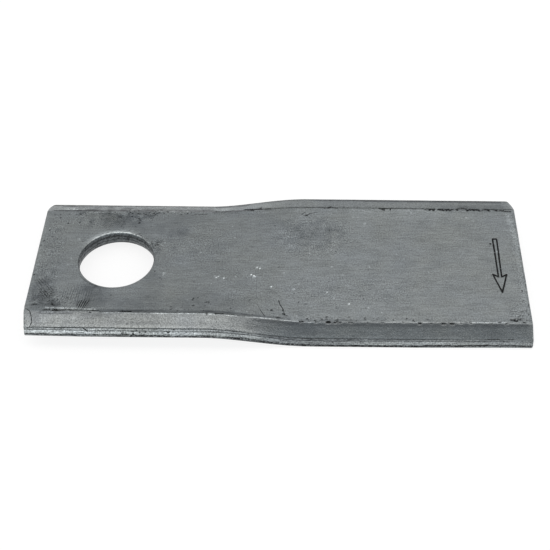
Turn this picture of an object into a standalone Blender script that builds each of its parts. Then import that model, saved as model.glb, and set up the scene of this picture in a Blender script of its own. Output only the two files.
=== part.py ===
"""Rotary mower blade: one piece of flat steel bar.

Both long edges are bevelled on the top side. One end is the fixing flat, with a
punched hole for the holder's pin, and the other is the cutting wing. Between the
two the bar is twisted through a few degrees, so that the wing lifts the cut grass.

X runs along the blade from the fixing end (-X) to the cutting end (+X), Y across
it from the near edge (-Y) to the far edge (+Y), and Z up. The blade lies at rest on
the far edge of its fixing flat and the near edge of its wing, at z = 0.
"""

import math

import bmesh
import bpy
from mathutils import Matrix, Vector

# Bar: the length between the sheared ends, and the section of the flat stock
LENGTH = 0.131
WIDTH = 0.048
THICKNESS = 0.004

# Long edges: a shallow bevel on the top side, then a land that leans out to the
# underside, which ends in a small round
BEVEL_WIDTH = 0.0042
BEVEL_DROP = 0.0016
LAND_LEAN = 0.0011
EDGE_RADIUS = 0.0004

# Sheared ends: the shear draws the top face down, and the far corners are worn round
END_ROLL_LENGTH = 0.0016
END_ROLL_DROP = 0.00025
FAR_CORNER_RADIUS = 0.0020
NEAR_CORNER_RADIUS = 0.0005

# Punched hole: a drawn-in rim at the top, a straight wall, and a wider break below
HOLE_DIAMETER = 0.0202
HOLE_FROM_END = 0.0216
HOLE_RIM_RADIUS = 0.0005
HOLE_STRAIGHT = 0.0014
HOLE_BREAK = 0.00035

# Twist: from the end of the fixing flat, over its own length, to the wing
TWIST_ANGLE = math.radians(9.0)
FIXING_LENGTH = 0.0457
TWIST_LENGTH = 0.028

# How finely the curved stretches are divided
FLAT_STEPS = 6
EDGE_STEPS = 4
END_STEPS = 5
TWIST_STEPS = 26
RIM_STEPS = 3
RIM_LAST_ANGLE = math.radians(70.0)
HOLE_SIDES = 72
SMOOTH_ANGLE = math.radians(12.0)

# How far the hole's cutter runs past each face
CUTTER_OVERRUN = 0.001

FIXING_END_X = -LENGTH / 2
TWIST_START_X = FIXING_END_X + FIXING_LENGTH
HOLE_X = FIXING_END_X + HOLE_FROM_END


def twist_at(x):
    """Angle of the section at x: minus half the twist, eased over to plus half."""
    part = min(max((x - TWIST_START_X) / TWIST_LENGTH, 0.0), 1.0)
    eased = part * part * (3.0 - 2.0 * part)
    return TWIST_ANGLE * (eased - 0.5)


def corner_inset(from_end, radius):
    """How far a corner of this radius pulls the edge in, at a distance from the end."""
    if from_end >= radius:
        return 0.0
    return radius - math.sqrt(radius**2 - (radius - from_end) ** 2)


def end_drop(from_end):
    """How far the shear has drawn the top face down, at a distance from the end."""
    if from_end >= END_ROLL_LENGTH:
        return 0.0
    return END_ROLL_DROP * (1.0 - from_end / END_ROLL_LENGTH) ** 2


def edge_points(inset, drop):
    """One long edge as (outward, height) pairs, from the bevel's crease to the underside."""
    toe = WIDTH / 2 - inset
    points = [
        (WIDTH / 2 - LAND_LEAN - BEVEL_WIDTH, THICKNESS - drop),
        (toe - LAND_LEAN, THICKNESS - BEVEL_DROP - drop),
    ]
    for step in range(EDGE_STEPS + 1):
        angle = math.pi / 2 * step / EDGE_STEPS
        outward = toe - EDGE_RADIUS * (1.0 - math.cos(angle))
        points.append((outward, EDGE_RADIUS * (1.0 - math.sin(angle))))
    return points


def between(start, end):
    """The points that divide the straight run between two points evenly."""
    parts = [step / FLAT_STEPS for step in range(1, FLAT_STEPS)]
    return [tuple(a + (b - a) * part for a, b in zip(start, end)) for part in parts]


def section_at(x):
    """The bar's section at x, as a ring of points turned about the middle of the bar."""
    from_end = LENGTH / 2 - abs(x)
    drop = end_drop(from_end)
    near = [(-y, z) for y, z in edge_points(corner_inset(from_end, NEAR_CORNER_RADIUS), drop)]
    far = edge_points(corner_inset(from_end, FAR_CORNER_RADIUS), drop)
    top = between(near[0], far[0])
    underside = between(far[-1], near[-1])
    ring = top + far + underside + near[::-1]
    turn = Matrix.Rotation(twist_at(x), 3, "X")
    return [turn @ Vector((x, y, z - THICKNESS / 2)) for y, z in ring]


def stations():
    """Where along the bar its section is taken, closer together where it changes."""
    end_zone = max(END_ROLL_LENGTH, FAR_CORNER_RADIUS, NEAR_CORNER_RADIUS)
    from_end = [end_zone * (1.0 - math.cos(math.pi / 2 * i / END_STEPS)) for i in range(END_STEPS + 1)]
    twist = [TWIST_START_X + TWIST_LENGTH * i / TWIST_STEPS for i in range(TWIST_STEPS + 1)]
    fixing = [-LENGTH / 2 + distance for distance in from_end]
    wing = [LENGTH / 2 - distance for distance in reversed(from_end)]
    return fixing + [x for x in twist if fixing[-1] < x < wing[0]] + wing


def hole_profile():
    """The hole's wall as (radius, height) pairs from below the bar to above it."""
    radius = HOLE_DIAMETER / 2
    top = THICKNESS / 2
    break_radius = radius + HOLE_BREAK
    profile = [
        (break_radius, -top - CUTTER_OVERRUN),
        (break_radius, -top),
        (radius, top - HOLE_RIM_RADIUS - HOLE_STRAIGHT),
    ]
    for step in range(RIM_STEPS + 1):
        angle = RIM_LAST_ANGLE * step / RIM_STEPS
        outward = HOLE_RIM_RADIUS * (1.0 - math.cos(angle))
        upward = HOLE_RIM_RADIUS * (math.sin(angle) - 1.0)
        profile.append((radius + outward, top + upward))
    last_radius, last_height = profile[-1]
    flare = CUTTER_OVERRUN * math.tan(RIM_LAST_ANGLE)
    profile.append((last_radius + flare, last_height + CUTTER_OVERRUN))
    return profile


def circle(radius, height):
    """A ring of points about Z."""
    angles = [2.0 * math.pi * i / HOLE_SIDES for i in range(HOLE_SIDES)]
    return [Vector((radius * math.cos(a), radius * math.sin(a), height)) for a in angles]


def loft(name, rings):
    """A closed solid through rings of equal count, with a flat face over each end."""
    form = bmesh.new()
    loops = [[form.verts.new(point) for point in ring] for ring in rings]
    for lower, upper in zip(loops, loops[1:]):
        for i in range(len(lower)):
            j = (i + 1) % len(lower)
            form.faces.new((lower[i], lower[j], upper[j], upper[i]))
    form.faces.new(loops[0])
    form.faces.new(loops[-1])
    bmesh.ops.recalc_face_normals(form, faces=form.faces)
    mesh = bpy.data.meshes.new(name)
    form.to_mesh(mesh)
    form.free()
    solid = bpy.data.objects.new(name, mesh)
    bpy.context.scene.collection.objects.link(solid)
    return solid


def blade_steel():
    """Grey rolled steel with a dull shine."""
    material = bpy.data.materials.new("blade_steel")
    material.use_nodes = True
    shader = material.node_tree.nodes["Principled BSDF"]
    shader.inputs["Base Color"].default_value = (0.36, 0.38, 0.39, 1.0)
    shader.inputs["Metallic"].default_value = 1.0
    shader.inputs["Roughness"].default_value = 0.42
    return material


def make_hole_cutter(height):
    """The punch that goes through the fixing flat, square to its face."""
    cutter = loft("hole_cutter", [circle(radius, z) for radius, z in hole_profile()])
    cutter.location = (HOLE_X, 0.0, height)
    cutter.rotation_euler.x = twist_at(HOLE_X)
    cutter.hide_render = True
    cutter.display_type = "WIRE"
    return cutter


def make_blade():
    """The bar, lofted through its turned sections, raised to rest at z = 0 and punched."""
    sections = [section_at(x) for x in stations()]
    height = -min(point.z for ring in sections for point in ring)
    blade = loft("blade", sections)
    blade.location.z = height
    blade.data.materials.append(blade_steel())

    cutter = make_hole_cutter(height)
    punch = blade.modifiers.new("pin_hole", "BOOLEAN")
    punch.operation = "DIFFERENCE"
    punch.solver = "EXACT"
    punch.object = cutter

    blade.data.shade_smooth()
    blade.data.set_sharp_from_angle(angle=SMOOTH_ANGLE)
    cutter.data.shade_smooth()
    cutter.data.set_sharp_from_angle(angle=SMOOTH_ANGLE)
    return blade


for old in list(bpy.data.objects):
    bpy.data.objects.remove(old, do_unlink=True)

make_blade()
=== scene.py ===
"""Looks of a rotary mower blade: a hardened bar of flat steel, bevelled, punched and twisted."""

import math
import random

import bpy
import numpy as np
from mathutils import Matrix, Vector


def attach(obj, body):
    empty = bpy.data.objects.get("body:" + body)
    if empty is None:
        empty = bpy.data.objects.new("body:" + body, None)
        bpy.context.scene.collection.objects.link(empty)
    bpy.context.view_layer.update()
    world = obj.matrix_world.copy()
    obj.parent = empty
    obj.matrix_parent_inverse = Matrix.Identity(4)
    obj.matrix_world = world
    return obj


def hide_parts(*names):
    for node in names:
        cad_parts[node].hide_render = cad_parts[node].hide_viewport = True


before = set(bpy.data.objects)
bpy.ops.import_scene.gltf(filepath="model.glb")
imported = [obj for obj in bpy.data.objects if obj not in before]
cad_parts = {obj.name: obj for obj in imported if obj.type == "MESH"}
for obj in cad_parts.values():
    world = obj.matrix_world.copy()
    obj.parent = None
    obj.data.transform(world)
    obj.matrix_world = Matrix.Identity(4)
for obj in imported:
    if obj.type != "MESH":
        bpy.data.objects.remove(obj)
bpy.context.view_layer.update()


# Camera: the photograph's view, from in front of the near edge and above, with the
# blade's length across the picture. Places are in metres, in the blade's own frame.
CAMERA_PLACE = Vector((-0.00201, -0.16627, 0.20667))
CAMERA_AIM = Vector((-0.00122, -0.00315, 0.00385))
CAMERA_ROLL = math.radians(0.84)
CAMERA_LENS = 63.53

camera_data = bpy.data.cameras.new("camera")
camera_data.sensor_width = 36.0
camera_data.lens = CAMERA_LENS
camera_data.clip_start = 0.01
camera = bpy.data.objects.new("camera", camera_data)
bpy.context.scene.collection.objects.link(camera)
looking = (CAMERA_AIM - CAMERA_PLACE).to_track_quat("-Z", "Y").to_matrix().to_4x4()
camera.matrix_world = Matrix.Translation(CAMERA_PLACE) @ looking @ Matrix.Rotation(CAMERA_ROLL, 4, "Z")
bpy.context.scene.camera = camera


# Bar stock: hot rolled flat steel, 48 x 4 mm, with both long edges bevelled on the top
# side and trimmed to a land that leans out below. It is drawn in millimetres as it is
# before the twist: x along, y across from the middle, z up from the underside.
MM = 0.001
LENGTH = 131.0
WIDTH = 48.0
THICKNESS = 4.0
BEVEL_WIDTH = 4.2
BEVEL_DROP = 1.6
LAND_LEAN = 1.1
TOE_RADIUS = 0.4
CREASE_ROUND = 0.1
END_X = LENGTH / 2
SHOULDER_Y = WIDTH / 2 - LAND_LEAN
CREASE_Y = SHOULDER_Y - BEVEL_WIDTH

# The mesh's spacing along the bar, across its faces, and close up to each crease
STATION_STEP = 0.34
END_ZONE = 2.4
END_STEPS = 9
TOP_STEP = 0.44
UNDERSIDE_STEP = 1.7
UNDERSIDE_HALF = 22.0
CREASE_STEP = 0.13
BEVEL_STEPS = 13
LAND_STEPS = 21
TOE_STEPS = 4


class Skin:
    """The blade's surface while it is put together: flat places, and faces with a finish."""

    def __init__(self):
        self.places = []
        self.faces = []
        self.finishes = []
        self.between = {}

    def point(self, x, y, z):
        self.places.append((float(x), float(y), float(z)))
        return len(self.places) - 1

    def split(self, line, step):
        """Take the points of a line between its every step-th one into the faces along it."""
        for k in range(0, len(line) - 1, step):
            a, b = line[k], line[k + step]
            self.between[a, b] = line[k + 1 : k + step]
            self.between[b, a] = line[k + 1 : k + step][::-1]

    def face(self, corners, finish):
        loop = []
        for a, b in zip(corners, corners[1:] + corners[:1]):
            loop.append(a)
            loop.extend(self.between.get((a, b), ()))
        self.faces.append(loop)
        self.finishes.append(finish)

    def join(self, outer, inner, finish):
        """Faces between two closed loops of equal count."""
        for j in range(len(outer)):
            k = (j + 1) % len(outer)
            self.face([outer[j], outer[k], inner[k], inner[j]], finish)


skin = Skin()


def spread(half, step, first_step):
    """Places from -half to half, a step apart in the middle and closer at both ends."""
    inwards = [0.0]
    gap = first_step
    while inwards[-1] + gap < half - step / 2:
        inwards.append(inwards[-1] + gap)
        gap = min(gap * 1.25, step)
    far = half - np.array(inwards)
    return np.concatenate([-far, [0.0], far[::-1]])


def eased(steps):
    """Parts from 0 to 1, closer together at both, without the 0."""
    return 0.5 - 0.5 * np.cos(np.linspace(0.0, math.pi, steps + 1)[1:])


def round_crease(beyond):
    """How far the top side has fallen at a distance beyond the crease, with the crease round."""
    return BEVEL_DROP / BEVEL_WIDTH * CREASE_ROUND * np.logaddexp(0.0, beyond / CREASE_ROUND)


end_gaps = END_ZONE * (1.0 - np.cos(np.linspace(0.0, math.pi / 2, END_STEPS)))
middle_count = round((LENGTH - 2 * END_ZONE) / STATION_STEP)
middle_x = np.linspace(END_ZONE - END_X, END_X - END_ZONE, middle_count + 1)
station_x = np.concatenate([end_gaps[:-1] - END_X, middle_x, END_X - end_gaps[-2::-1]])
top_y = spread(CREASE_Y, TOP_STEP, CREASE_STEP)
underside_y = np.linspace(UNDERSIDE_HALF, -UNDERSIDE_HALF, round(2 * UNDERSIDE_HALF / UNDERSIDE_STEP) + 1)


# Sheared ends: the shear draws the top down over the last stretch and leaves the cut a
# little out of square at three corners. All four corners are knocked round.
END_ROLL_LENGTH = 1.6
END_ROLL_DROP = 0.25
CORNER_RADIUS = 0.4
SET_BACK_LENGTH = 4.0
FIXING_FAR_FROM = 20.5
FIXING_FAR_RATE = 0.12
FIXING_FAR_MOST = 1.1
FIXING_NEAR_FROM = 18.2
FIXING_NEAR_REACH = 5.0
FIXING_NEAR_SLOPE = 0.11
WING_FAR_FROM = 18.5
WING_FAR_RATE = 0.045
CAP_PARTS = (0.85, 0.7, 0.55, 0.4, 0.25, 0.1)
CAP_HALF = 21.0

from_end = END_X - np.abs(station_x)[:, None]
end_drop = END_ROLL_DROP * np.clip(1.0 - from_end / END_ROLL_LENGTH, 0.0, 1.0) ** 2
into_corner = np.clip(CORNER_RADIUS - from_end, 0.0, CORNER_RADIUS)
inset = CORNER_RADIUS - np.sqrt(CORNER_RADIUS**2 - into_corner**2)


def set_back(x, y):
    """How far the cut at the nearer end lies inside a square one, at y."""
    fixing_far = np.minimum(FIXING_FAR_RATE * np.clip(y - FIXING_FAR_FROM, 0.0, None) ** 2, FIXING_FAR_MOST)
    fixing_near = FIXING_NEAR_SLOPE * np.clip(-y - FIXING_NEAR_FROM, 0.0, FIXING_NEAR_REACH)
    wing_far = WING_FAR_RATE * np.clip(y - WING_FAR_FROM, 0.0, None) ** 2
    depth = np.where(x < 0.0, fixing_far + fixing_near, wing_far)
    fade = np.clip(1.0 - (END_X - np.abs(x)) / SET_BACK_LENGTH, 0.0, 1.0) ** 2
    return np.where(x < 0.0, depth, -depth) * fade


# The ring of points round the bar at each station: the top, the far edge, the underside
# and the near edge. The toe stays a hair inside the solid's.
TOE_CLEARANCE = 0.001

shoulder_y = SHOULDER_Y - inset
toe_y = WIDTH / 2 - TOE_CLEARANCE - inset
bevel_part = eased(BEVEL_STEPS)
land_part = np.linspace(0.0, 1.0, LAND_STEPS + 1)[1:]
toe_angle = np.linspace(0.0, math.pi / 2, TOE_STEPS + 1)[1:]
edge_bevel_y = CREASE_Y + (shoulder_y - CREASE_Y) * bevel_part
edge_bevel_z = THICKNESS - end_drop - round_crease(BEVEL_WIDTH * bevel_part)
edge_land_y = shoulder_y + (toe_y - shoulder_y) * land_part
edge_land_z = edge_bevel_z[:, -1:] + (TOE_RADIUS - edge_bevel_z[:, -1:]) * land_part
edge_toe_y = toe_y - TOE_RADIUS * (1.0 - np.cos(toe_angle))
edge_toe_z = TOE_RADIUS * (1.0 - np.sin(toe_angle)) + 0.0 * from_end
edge_y = np.hstack([edge_bevel_y, edge_land_y, edge_toe_y])
edge_z = np.hstack([edge_bevel_z, edge_land_z, edge_toe_z])
top_z = THICKNESS - end_drop - round_crease(np.abs(top_y) - CREASE_Y)
ring_y = np.hstack([top_y + 0.0 * from_end, edge_y, underside_y + 0.0 * from_end, -edge_y[:, ::-1]])
ring_z = np.hstack([top_z, edge_z, 0.0 * underside_y + 0.0 * from_end, edge_z[:, ::-1]])
ring_points = []
for x, ys, zs in zip(station_x, ring_y, ring_z):
    ring_points.append([skin.point(x + set_back(x, y), y, z) for y, z in zip(ys, zs)])
underside_first = len(top_y) + edge_y.shape[1]
edge_finish = ["bevel"] * BEVEL_STEPS + ["land"] * (LAND_STEPS + TOE_STEPS)
column_finish = ["top"] * (len(top_y) - 1) + edge_finish + ["underside"] * (len(underside_y) + 1)
column_finish += edge_finish[::-1]


def window(x_low, x_high, y_low, y_high, lines):
    """The stations and lines of the mesh just outside a rectangle, as (first, last) pairs."""
    inside_x = np.flatnonzero((station_x > x_low) & (station_x < x_high))
    inside_y = np.flatnonzero((lines > y_low) & (lines < y_high))
    return (inside_x[0] - 1, inside_x[-1] + 1), (inside_y[0] - 1, inside_y[-1] + 1)


def border(rows, columns):
    """The closed loop of ring points round a window."""
    (i0, i1), (j0, j1) = rows, columns
    places = [(i, j0) for i in range(i0, i1)] + [(i1, j) for j in range(j0, j1)]
    places += [(i, j1) for i in range(i1, i0, -1)] + [(i0, j) for j in range(j1, j0, -1)]
    return [ring_points[i][j] for i, j in places]


# Pin hole: punched from the top, so its rim is drawn in, the upper wall is straight and
# the lower wall is torn a little wider.
HOLE_X = -END_X + 21.6
HOLE_RADIUS = 9.95
RIM_RADIUS = 0.65
BREAK_HEIGHT = 1.5
BREAK_WIDENING = 0.5

# The mesh about the hole passes from a square, a little inside its window, to a circle
HOLE_MARGIN = 1.6
HOLE_POINTS = 176
RIM_STEPS = 7
WALL_STEPS = 13
BLEND_STEPS = 4
SQUARING_STEPS = 7
SQUARE_INSIDE = 0.2
ROUND_INSIDE = 0.3
FIRST_TURN = 0.01
RIM_STEPS_AS_WALL = 4

hole_reach = HOLE_RADIUS + HOLE_MARGIN


def turn_round_hole(point):
    """The angle of a skin point about the hole's middle."""
    x, y, _ = skin.places[point]
    return math.atan2(y, x - HOLE_X)


def stitch(outer, inner, finish):
    """Triangles between two loops about the hole with different numbers of points."""
    outer = sorted(outer, key=turn_round_hole)
    inner = sorted(inner, key=turn_round_hole)
    a = b = 0
    while a < len(outer) or b < len(inner):
        next_outer = turn_round_hole(outer[a]) if a < len(outer) else math.inf
        next_inner = turn_round_hole(inner[b]) if b < len(inner) else math.inf
        if next_outer < next_inner:
            skin.face([outer[a - 1], outer[a], inner[b - 1]], finish)
            a += 1
        else:
            skin.face([outer[a - 1], inner[b], inner[b - 1]], finish)
            b += 1


def hole_loop(radius, z, squareness=0.0):
    """A loop of points about the hole, drawn out towards the square round it."""
    loop = []
    for t in np.linspace(-math.pi, math.pi, HOLE_POINTS, endpoint=False) + FIRST_TURN:
        to_square = (hole_reach - SQUARE_INSIDE) / max(abs(math.cos(t)), abs(math.sin(t)))
        reach = radius + (to_square - radius) * squareness
        loop.append(skin.point(HOLE_X + reach * math.cos(t), reach * math.sin(t), z))
    return loop


hole_box = (HOLE_X - hole_reach, HOLE_X + hole_reach, -hole_reach, hole_reach)
hole_rows, hole_columns = window(*hole_box, top_y)
under_rows, under_columns = window(*hole_box, underside_y)
under_columns = (under_columns[0] + underside_first, under_columns[1] + underside_first)
top_margin = np.linspace(HOLE_MARGIN - ROUND_INSIDE, RIM_RADIUS, BLEND_STEPS)
under_margin = np.linspace(BREAK_WIDENING, HOLE_MARGIN - ROUND_INSIDE, BLEND_STEPS)
hole_loops = []
for squareness in np.linspace(1.0, 0.0, SQUARING_STEPS, endpoint=False):
    hole_loops.append(hole_loop(HOLE_RADIUS + top_margin[0], THICKNESS, squareness))
hole_loops += [hole_loop(HOLE_RADIUS + margin, THICKNESS) for margin in top_margin]
for turn in np.linspace(0.0, math.pi / 2, RIM_STEPS + 1)[1:]:
    rim_z = THICKNESS - RIM_RADIUS * (1.0 - math.cos(turn))
    hole_loops.append(hole_loop(HOLE_RADIUS + RIM_RADIUS * (1.0 - math.sin(turn)), rim_z))
for z in np.linspace(THICKNESS - RIM_RADIUS, 0.0, WALL_STEPS + 1)[1:]:
    widening = BREAK_WIDENING * max(0.0, 1.0 - z / BREAK_HEIGHT)
    hole_loops.append(hole_loop(HOLE_RADIUS + widening, z))
hole_loops += [hole_loop(HOLE_RADIUS + margin, 0.0) for margin in under_margin[1:]]
stitch(border(hole_rows, hole_columns), hole_loops[0], "top")
hole_finish = ["top"] * (SQUARING_STEPS + BLEND_STEPS - 1 + RIM_STEPS - RIM_STEPS_AS_WALL)
hole_finish += ["wall"] * (RIM_STEPS_AS_WALL + WALL_STEPS) + ["underside"] * (BLEND_STEPS - 1)
for outer, inner, finish in zip(hole_loops, hole_loops[1:], hole_finish):
    skin.join(outer, inner, finish)
stitch(hole_loops[-1], border(under_rows, under_columns), "underside")


# Direction arrow: the outline of an arrow, stamped near the wing's end, that shows which
# way the disc turns. The mesh is divided finer there, to hold the stamped line.
ARROW_X = 58.75
ARROW_TAIL_Y = 8.4
ARROW_BARB_Y = -3.3
ARROW_NECK_Y = -4.1
ARROW_TIP_Y = -9.0
ARROW_TAIL_HALF = 0.55
ARROW_NECK_HALF = 0.43
ARROW_HEAD_HALF = 1.85
ARROW_LINE_HALF = 0.27
ARROW_DEPTH = 0.16
ARROW_MARGIN = 0.5
ARROW_SPLIT = 3

arrow_rows, arrow_columns = window(
    ARROW_X - ARROW_HEAD_HALF - ARROW_MARGIN,
    ARROW_X + ARROW_HEAD_HALF + ARROW_MARGIN,
    ARROW_TIP_Y - ARROW_MARGIN,
    ARROW_TAIL_Y + ARROW_MARGIN,
    top_y,
)


def finely(values, first, last):
    """The values from first to last, with each step divided."""
    places = np.arange((last - first) * ARROW_SPLIT + 1) / ARROW_SPLIT + first
    return np.interp(places, np.arange(len(values)), values)


fine_x = finely(station_x, *arrow_rows)
fine_y = finely(top_y, *arrow_columns)
fine_drop = finely(end_drop[:, 0], *arrow_rows)
patch = [[skin.point(x, y, THICKNESS - drop) for y in fine_y] for x, drop in zip(fine_x, fine_drop)]
for i in range(arrow_rows[0], arrow_rows[1] + 1):
    for j in range(arrow_columns[0], arrow_columns[1] + 1):
        if i in arrow_rows or j in arrow_columns:
            row = patch[(i - arrow_rows[0]) * ARROW_SPLIT]
            row[(j - arrow_columns[0]) * ARROW_SPLIT] = ring_points[i][j]
for a in range(len(fine_x) - 1):
    for b in range(len(fine_y) - 1):
        skin.face([patch[a][b], patch[a + 1][b], patch[a + 1][b + 1], patch[a][b + 1]], "top")
skin.split(patch[0], ARROW_SPLIT)
skin.split(patch[-1], ARROW_SPLIT)
skin.split([row[0] for row in patch], ARROW_SPLIT)
skin.split([row[-1] for row in patch], ARROW_SPLIT)


# Rest of the bar's skin: the rolled faces, bevels and lands between the rings, and the two
# sheared end faces, drawn in ring by ring to their middles.
def within(i, j, rows, columns):
    return rows[0] <= i < rows[1] and columns[0] <= j < columns[1]


for i in range(len(station_x) - 1):
    for j, finish in enumerate(column_finish):
        in_hole = within(i, j, hole_rows, hole_columns) or within(i, j, under_rows, under_columns)
        if in_hole or within(i, j, arrow_rows, arrow_columns):
            continue
        k = (j + 1) % len(column_finish)
        here, onward = ring_points[i], ring_points[i + 1]
        skin.face([here[j], onward[j], onward[k], here[k]], finish)


def drawn_in(ring, part):
    """The ring of an end face, drawn in towards its middle line."""
    loop = []
    for x, y, z in [skin.places[k] for k in ring]:
        middle = min(max(y, -CAP_HALF), CAP_HALF)
        loop.append(skin.point(x, middle + (y - middle) * part, THICKNESS / 2 + (z - THICKNESS / 2) * part))
    return loop


first_drawn_in = len(skin.places)
for ring in (ring_points[0], ring_points[-1][::-1]):
    cap_rings = [ring] + [drawn_in(ring, part) for part in CAP_PARTS]
    for outer, inner in zip(cap_rings, cap_rings[1:]):
        skin.join(outer, inner, "end")
    skin.face(cap_rings[-1], "end")

# The points that no face uses, where the hole and the arrow's finer mesh are, are left out
used = sorted({point for face in skin.faces for point in face})
renumbered = dict(zip(used, range(len(used))))
bar_faces = [[renumbered[point] for point in face] for face in skin.faces]
drawn_in_count = len(skin.places) - first_drawn_in


# Marks of rolling, grinding, handling and rust on the top side and edges, and painted light
# and shade: cuts and tears are dark and sunk, rubs and painted highlights are bright, stains
# and painted shade are dark only. Places are flat, in mm.
flat = np.array(skin.places)[used]
flat_x, flat_y, flat_z = flat.T
depth = np.zeros(len(flat))
dark = np.zeros(len(flat))
bright = np.zeros(len(flat))
stain_and_shade = np.zeros(len(flat))


def value_noise(x, y, seed):
    """Smooth random values between -1 and 1, one for each unit square, on arrays."""
    i, j = np.floor(x), np.floor(y)
    u, v = x - i, y - j
    u, v = u * u * (3 - 2 * u), v * v * (3 - 2 * v)

    def corner(a, b):
        mixed = np.sin(a * 127.1 + b * 311.7 + seed * 74.7) * 43758.5453
        return 2.0 * (mixed - np.floor(mixed)) - 1.0

    low = corner(i, j) * (1 - u) + corner(i + 1, j) * u
    high = corner(i, j + 1) * (1 - u) + corner(i + 1, j + 1) * u
    return low * (1 - v) + high * v


def fading(away, reach):
    """1 in the middle of a mark, falling to 0 at its reach."""
    return np.clip(1.7 - 1.7 * away / reach, 0.0, 1.0)


def about(values, middle, half, fullness):
    """1 about a middle value, falling to 0 at its half width times its fullness."""
    return np.clip(fullness - np.abs(values - middle) / half, 0.0, 1.0)


def outwards(x, y, reach_x, reach_y):
    """The square of how far each place is from a middle, as a part of its reach that way."""
    return ((flat_x - x) / reach_x) ** 2 + ((flat_y - y) / reach_y) ** 2


def away_from(x0, y0, x1, y1):
    """How far each place is from the line between two flat places."""
    run_x, run_y = x1 - x0, y1 - y0
    along = ((flat_x - x0) * run_x + (flat_y - y0) * run_y) / max(run_x**2 + run_y**2, 1e-9)
    along = np.clip(along, 0.0, 1.0)
    return np.hypot(flat_x - x0 - along * run_x, flat_y - y0 - along * run_y)


UPPER_FROM = 2.2
MARK_DEPTH = 0.11
ragged = 0.6 * value_noise(flat_x / 0.5, flat_y / 0.4, 1)
ragged += 0.4 * value_noise(flat_x / 1.3, flat_y / 0.9, 2)
on_upper = (flat_z > UPPER_FROM).astype(float)


def touch(layer, marks, rough, soft):
    """Lay marks on a layer, each from one flat place to another, where the strongest counts."""
    for *ends, half_width, strength in marks:
        away = away_from(*ends)
        edge = half_width * (1.0 + rough * ragged) + soft
        np.maximum(layer, strength * on_upper * fading(away, edge), out=layer)


# Torn stretches along the near crease, and a painted highlight along it and above it
NEAR_TEARS = [
    (-60.4, -18.2, -56.7, -18.5, 0.1, 0.6),
    (-58.0, -18.0, -57.0, -18.1, 0.15, 0.7),
    (-56.6, -18.4, -55.2, -18.25, 0.12, 0.7),
    (-55.2, -18.3, -53.6, -18.1, 0.14, 0.7),
    (-53.6, -18.3, -51.4, -18.25, 0.12, 0.6),
    (-51.4, -18.3, -48.6, -18.35, 0.1, 0.6),
    (-48.4, -18.25, -47.0, -18.35, 0.16, 0.85),
    (-46.7, -18.3, -46.1, -18.35, 0.14, 0.6),
    (-40.5, -18.45, -38.0, -18.5, 0.16, 0.6),
    (-58.6, -19.2, -58.2, -19.6, 0.12, 0.7),
    (-48.5, -18.9, -48.2, -19.0, 0.15, 0.6),
    (-46.0, -18.7, -7.0, -18.72, 0.07, 0.5),
    (-19.0, -18.9, -18.5, -19.1, 0.13, 0.7),
    (-16.5, -18.8, -14.4, -18.75, 0.12, 0.7),
    (5.1, -18.8, 5.5, -18.85, 0.16, 0.8),
    (6.2, -18.8, 6.5, -18.8, 0.1, 0.6),
    (7.5, -18.8, 7.8, -18.8, 0.12, 0.7),
    (9.0, -18.1, 9.2, -18.3, 0.12, 0.6),
    (10.7, -18.2, 11.0, -17.8, 0.12, 0.6),
    (12.1, -18.8, 13.1, -18.85, 0.17, 0.95),
    (2.2, -18.2, 2.5, -18.4, 0.08, 0.5),
    (3.4, -18.5, 3.7, -18.6, 0.1, 0.6),
    (9.6, -18.8, 10.0, -18.85, 0.1, 0.6),
    (18.2, -18.8, 19.0, -18.85, 0.08, 0.5),
    (22.5, -18.85, 23.1, -18.85, 0.08, 0.45),
    (26.4, -18.8, 26.9, -18.85, 0.08, 0.5),
    (31.8, -18.7, 32.3, -18.6, 0.1, 0.5),
    (38.9, -18.8, 39.3, -18.9, 0.1, 0.6),
    (46.6, -18.7, 47.1, -18.8, 0.1, 0.6),
    (51.5, -18.9, 51.9, -18.9, 0.08, 0.5),
    (54.4, -18.8, 55.0, -18.8, 0.08, 0.5),
    (58.4, -18.8, 58.9, -18.7, 0.1, 0.6),
    (63.1, -16.4, 63.5, -16.6, 0.12, 0.6),
    (63.9, -17.6, 64.2, -17.8, 0.12, 0.6),
    (62.9, -18.3, 63.6, -18.3, 0.1, 0.6),
    (64.3, -14.2, 64.5, -14.6, 0.1, 0.5),
    (62.0, -15.6, 62.3, -15.7, 0.1, 0.4),
    (14.1, -18.85, 14.4, -18.9, 0.12, 0.7),
    (15.3, -18.9, 15.6, -18.9, 0.1, 0.6),
    (34.5, -18.1, 34.8, -18.3, 0.14, 0.8),
    (35.9, -18.85, 36.6, -18.9, 0.13, 0.8),
    (38.0, -17.6, 38.3, -17.7, 0.1, 0.5),
    (41.9, -18.9, 42.8, -18.9, 0.13, 0.8),
    (44.0, -18.9, 44.9, -19.0, 0.18, 0.8),
    (48.0, -18.3, 48.3, -18.5, 0.12, 0.5),
    (49.3, -18.7, 49.6, -18.7, 0.12, 0.6),
    (56.5, -18.3, 57.2, -18.3, 0.13, 0.7),
    (59.7, -17.5, 60.4, -17.6, 0.24, 0.9),
    (60.4, -17.6, 62.4, -17.4, 0.16, 0.75),
    (64.7, -15.6, 64.9, -16.0, 0.14, 0.7),
]
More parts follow.
